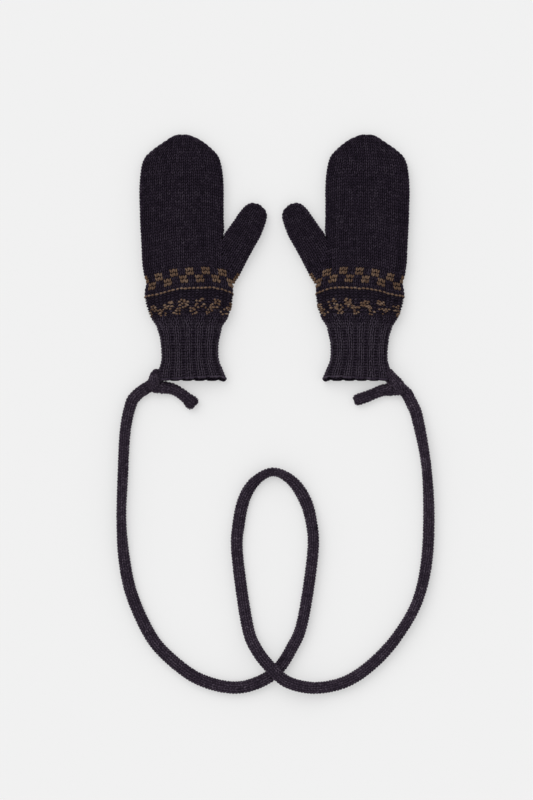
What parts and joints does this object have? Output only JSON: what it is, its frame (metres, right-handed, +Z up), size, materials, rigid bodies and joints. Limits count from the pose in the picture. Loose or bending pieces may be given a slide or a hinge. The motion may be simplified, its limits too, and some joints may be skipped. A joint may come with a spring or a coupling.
{
  "type": "pair of mittens on a cord",
  "caption": "Dark knitted wool mittens to keep hands warm, with ribbed cuffs and brown chequered bands, joined by a long knitted cord knotted through each cuff.",
  "frame": {"origin": "on the surface that the mittens lie on, under the middle of the two mittens, measured without the cord", "axes": "+X across from the left mitten to the right one, +Y towards the finger tips, +Z up"},
  "size_m": [0.3356, 0.5884, 0.0192],
  "materials": {
    "dark_wool": "knitted wool, matt and slightly hairy",
    "brown_wool": "knitted wool, matt, worked into the bands",
    "cord_wool": "knitted wool tube, matt and slightly hairy"
  },
  "bodies": {
    "root": {"left_hand": "dark_wool", "left_thumb": "dark_wool", "left_cuff": "dark_wool", "left_knot": "cord_wool", "left_tail": "cord_wool", "right_hand": "dark_wool", "right_thumb": "dark_wool", "right_cuff": "dark_wool", "right_knot": "cord_wool", "right_tail": "cord_wool", "cord": "cord_wool"}
  },
  "joints": []
}
